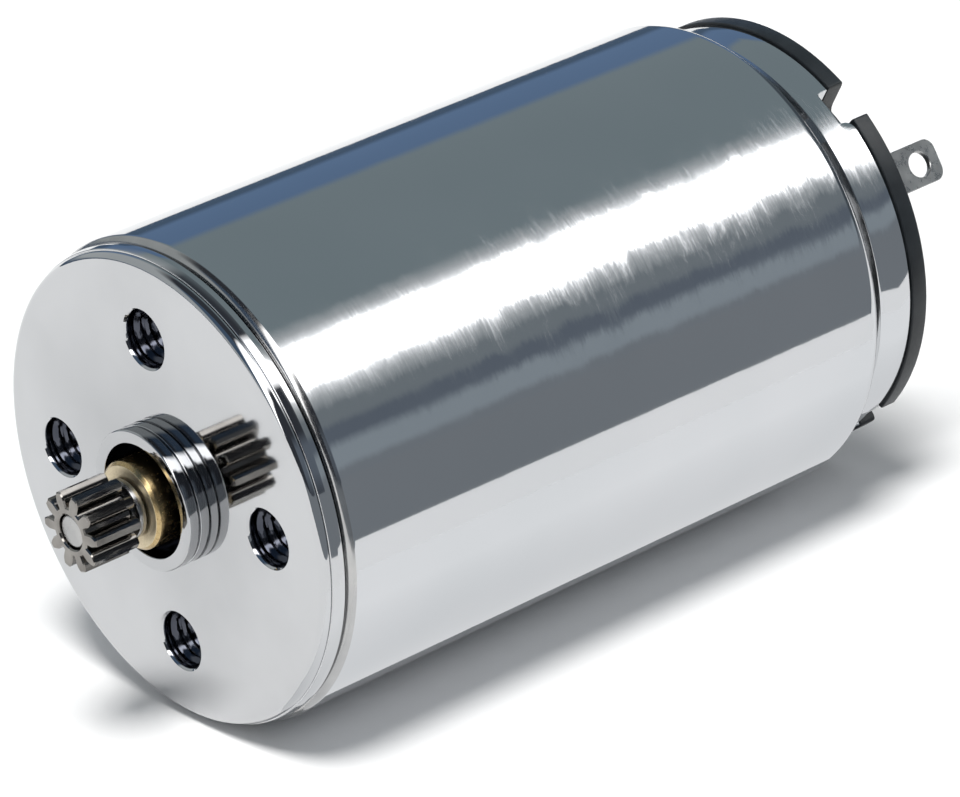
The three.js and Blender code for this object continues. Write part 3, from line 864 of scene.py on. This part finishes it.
CARRIED_LOOKS = {
    "brush_": CONTACT_LOOK,
    "commutator_segment_": CONTACT_LOOK,
    "commutator_core": PLASTIC_LOOK,
    "coil_tap_": COPPER_LOOK,
}
for node_name, node_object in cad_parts.items():
    for start, look in CARRIED_LOOKS.items():
        if node_name.startswith(start):
            dress(node_object, look)


# ---------- camera, floor and light ----------

CAMERA_AZIMUTH = 51.27
CAMERA_ELEVATION = 24.44
CAMERA_ROLL = -5.5
CAMERA_DISTANCE = 245.4
CAMERA_AIM = Vector((0.91, 16.93, -1.56))
CAMERA_LENS = 208.6
CAMERA_SENSOR = 36

FLOOR_HALF = 2000
DARK_CARD_NEAR = 36.0  # its distance beside the shaft at its front end
DARK_CARD_FAR = 27.0
DARK_CARD_TOP = 4
DARK_CARD_FRONT = -60
PALE_CARD_INNER = 5.6
PALE_CARD_OUTER = 22.0
PALE_CARD_FRONT = -4
PALE_CARD_LIFT = 0.05
CARDS_REAR = 200


def make_camera():
    azimuth, elevation = math.radians(CAMERA_AZIMUTH), math.radians(CAMERA_ELEVATION)
    back = Vector(
        (
            math.sin(azimuth) * math.cos(elevation),
            -math.cos(azimuth) * math.cos(elevation),
            math.sin(elevation),
        )
    )
    data = bpy.data.cameras.new("camera")
    data.lens = CAMERA_LENS
    data.sensor_width = CAMERA_SENSOR
    data.clip_start = 0.01
    data.clip_end = 20
    camera = bpy.data.objects.new("camera", data)
    bpy.context.scene.collection.objects.link(camera)
    camera.location = (CAMERA_AIM + back * CAMERA_DISTANCE) * MM
    level = (-back).to_track_quat("-Z", "Y").to_matrix()
    roll = Matrix.Rotation(math.radians(CAMERA_ROLL), 3, "Z")
    camera.rotation_euler = (level @ roll).to_euler()
    bpy.context.scene.camera = camera


def make_floor():
    half = FLOOR_HALF
    z = CAD_LOW.z / MM
    corners = [(-half, -half, z), (half, -half, z), (half, half, z), (-half, half, z)]
    floor = finish_mesh("floor", corners, [(0, 1, 2, 3)], weighted=False)
    dress(floor, floor_paint())


def make_card(name, corners, near_colour, far_colour):
    """Card that only reflections see. Its colour runs along +X, from its near side to its far one."""
    card = finish_mesh(name, corners, [(0, 1, 2, 3)], weighted=False)
    look = bpy.data.materials.new(name)
    look.use_nodes = True
    tree = look.node_tree
    tree.nodes.clear()
    split = tree.nodes.new("ShaderNodeSeparateXYZ")
    tree.links.new(tree.nodes.new("ShaderNodeTexCoord").outputs["Generated"], split.inputs["Vector"])
    ramp = tree.nodes.new("ShaderNodeValToRGB")
    ramp.color_ramp.elements[0].color = (*near_colour, 1)
    ramp.color_ramp.elements[1].color = (*far_colour, 1)
    ramp.color_ramp.elements[1].position = 0.6
    tree.links.new(split.outputs["X"], ramp.inputs["Fac"])
    glow = tree.nodes.new("ShaderNodeEmission")
    tree.links.new(ramp.outputs["Color"], glow.inputs["Color"])
    output = tree.nodes.new("ShaderNodeOutputMaterial")
    tree.links.new(glow.outputs["Emission"], output.inputs["Surface"])
    dress(card, look)
    card.visible_camera = False
    card.visible_diffuse = False
    card.visible_shadow = False
    card.visible_transmission = False


def make_cards():
    """A dark wall beside the motor, which ends the pale floor in the can, and a pale strip on the
    floor, which lights the can's underside."""
    z = CAD_LOW.z / MM
    wall = [
        (DARK_CARD_NEAR, DARK_CARD_FRONT, z),
        (DARK_CARD_FAR, CARDS_REAR, z),
        (DARK_CARD_FAR, CARDS_REAR, DARK_CARD_TOP),
        (DARK_CARD_NEAR, DARK_CARD_FRONT, DARK_CARD_TOP),
    ]
    make_card("dark_card", wall, (0.23, 0.255, 0.28), (0.24, 0.265, 0.29))
    height = z + PALE_CARD_LIFT
    strip = [
        (PALE_CARD_INNER, PALE_CARD_FRONT, height),
        (PALE_CARD_OUTER, PALE_CARD_FRONT, height),
        (PALE_CARD_OUTER, CARDS_REAR, height),
        (PALE_CARD_INNER, CARDS_REAR, height),
    ]
    make_card("pale_card", strip, (0.86, 0.875, 0.89), (1.16, 1.175, 1.185))


# The room that reflections see, as strips that lie along the shaft. Each strip is an angle about the
# shaft, from the +X horizon at 0 over the top at 90, and a colour. The room differs behind the motor,
# beside it and before it.
DARK_WALL = (0.21, 0.235, 0.26)
PALE_WALL = (0.29, 0.335, 0.37)
SHADE = (0.13, 0.155, 0.19)
LAMP_SHADE = (0.20, 0.23, 0.25)
LAMP_HALO = (0.50, 0.53, 0.54)
LAMP_GLOW = (1.0, 1.02, 1.03)
LAMP = (4.0, 4.0, 4.0)
CEILING = (0.21, 0.26, 0.28)
BLUE_SKY = (0.125, 0.20, 0.33)
DUSK = (0.07, 0.11, 0.17)
NIGHT = (0.04, 0.045, 0.055)
PALE_CEILING = (0.45, 0.48, 0.49)
REAR_ROOM = [
    (0, DARK_WALL),
    (5, DARK_WALL),
    (8, PALE_WALL),
    (15, PALE_WALL),
    (19, SHADE),
    (24, SHADE),
    (27, LAMP_SHADE),
    (33, LAMP_SHADE),
    (39, LAMP_HALO),
    (43, LAMP_GLOW),
    (47, LAMP),
    (63, LAMP),
    (67, LAMP_GLOW),
    (70, LAMP_HALO),
    (76, CEILING),
    (143, CEILING),
    (148, BLUE_SKY),
    (167, BLUE_SKY),
    (172, DUSK),
    (180, DUSK),
]
FRONT_ROOM = [
    (0, NIGHT),
    (46, NIGHT),
    (52, LAMP),
    (68, LAMP),
    (78, DUSK),
    (118, DUSK),
    (130, PALE_CEILING),
    (170, PALE_CEILING),
    (178, DUSK),
]
SIDE_ROOM = [
    (0, NIGHT),
    (12, SHADE),
    (24, SHADE),
    (30, NIGHT),
    (50, NIGHT),
    (56, LAMP),
    (70, LAMP),
    (78, NIGHT),
    (118, NIGHT),
    (130, PALE_CEILING),
    (170, PALE_CEILING),
    (178, DUSK),
]
END_WALL = (0.07, 0.085, 0.10)
# Where one room fades into the next, as the part of a direction that points along the shaft.
FRONT_TO_SIDE = (-0.52, -0.44)
SIDE_TO_REAR = (0.20, 0.42)
REAR_TO_END = (0.80, 0.90)

ROOM_STRENGTH = 1.12
DOME_STRENGTH = 0.42
DOME_COLOUR = (0.92, 0.965, 1.0)
BACKDROP = (1.0, 1.0, 1.0)

KEY_STRENGTH = 3.0
KEY_COLOUR = (1.0, 0.985, 0.965)
KEY_ANGLE = 75  # degrees about the shaft
KEY_FROM_REAR = -0.26
KEY_SOFTNESS = 19  # degrees across


def make_world():
    """Reflections see the room of strips; the camera sees white, and all else a soft dome."""
    world = bpy.data.worlds.new("studio")
    bpy.context.scene.world = world
    world.use_nodes = True
    tree = world.node_tree
    tree.nodes.clear()

    def add(kind):
        return tree.nodes.new(kind)

    def strips(share, room):
        ramp = add("ShaderNodeValToRGB")
        elements = ramp.color_ramp.elements
        while len(elements) > 1:
            elements.remove(elements[-1])
        for i, (degrees, colour) in enumerate(room):
            element = elements[0] if i == 0 else elements.new(degrees / 180)
            element.position = degrees / 180
            element.color = (*colour, 1)
        tree.links.new(share, ramp.inputs["Fac"])
        return ramp.outputs["Color"]

    def blend(share, first, second):
        mix = add("ShaderNodeMix")
        mix.data_type = "RGBA"
        tree.links.new(share, mix.inputs[0])
        for socket, colour in ((mix.inputs[6], first), (mix.inputs[7], second)):
            if isinstance(colour, tuple):
                socket.default_value = (*colour, 1)
            else:
                tree.links.new(colour, socket)
        return mix.outputs[2]

    def smooth_step(value, start, end):
        step = add("ShaderNodeMapRange")
        step.interpolation_type = "SMOOTHSTEP"
        step.inputs["From Min"].default_value = start
        step.inputs["From Max"].default_value = end
        tree.links.new(value, step.inputs["Value"])
        return step.outputs["Result"]

    def background(colour, strength):
        node = add("ShaderNodeBackground")
        node.inputs["Strength"].default_value = strength
        if isinstance(colour, tuple):
            node.inputs["Color"].default_value = (*colour, 1)
        else:
            tree.links.new(colour, node.inputs["Color"])
        return node.outputs["Background"]

    def choose(share, first, second):
        mix = add("ShaderNodeMixShader")
        tree.links.new(share, mix.inputs["Fac"])
        tree.links.new(first, mix.inputs[1])
        tree.links.new(second, mix.inputs[2])
        return mix.outputs["Shader"]

    split = add("ShaderNodeSeparateXYZ")
    tree.links.new(add("ShaderNodeTexCoord").outputs["Generated"], split.inputs["Vector"])
    angle = add("ShaderNodeMath")
    angle.operation = "ARCTAN2"
    tree.links.new(split.outputs["Z"], angle.inputs[0])
    tree.links.new(split.outputs["X"], angle.inputs[1])
    share = add("ShaderNodeMath")
    share.operation = "DIVIDE"
    share.inputs[1].default_value = math.pi
    tree.links.new(angle.outputs["Value"], share.inputs[0])
    rooms = (FRONT_ROOM, SIDE_ROOM, REAR_ROOM)
    front, side, rear = (strips(share.outputs["Value"], each) for each in rooms)
    room = blend(smooth_step(split.outputs["Y"], *FRONT_TO_SIDE), front, side)
    room = blend(smooth_step(split.outputs["Y"], *SIDE_TO_REAR), room, rear)
    room = blend(smooth_step(split.outputs["Y"], *REAR_TO_END), room, END_WALL)

    path = add("ShaderNodeLightPath")
    lighting = choose(
        path.outputs["Is Glossy Ray"],
        background(DOME_COLOUR, DOME_STRENGTH),
        background(room, ROOM_STRENGTH),
    )
    seen = choose(path.outputs["Is Camera Ray"], lighting, background(BACKDROP, 1.0))
    output = add("ShaderNodeOutputWorld")
    tree.links.new(seen, output.inputs["Surface"])


def make_key():
    """Soft sun from above and a little before the motor, unseen in reflections."""
    data = bpy.data.lights.new("key", "SUN")
    data.energy = KEY_STRENGTH
    data.angle = math.radians(KEY_SOFTNESS)
    data.color = KEY_COLOUR
    lamp = bpy.data.objects.new("key", data)
    bpy.context.scene.collection.objects.link(lamp)
    towards = Vector(turned_point(1, KEY_FROM_REAR, math.radians(KEY_ANGLE)))
    lamp.rotation_euler = (-towards).to_track_quat("-Z", "Y").to_euler()
    lamp.visible_glossy = False


make_camera()
make_floor()
make_cards()
make_world()
make_key()
bpy.context.scene.view_settings.view_transform = "Standard"
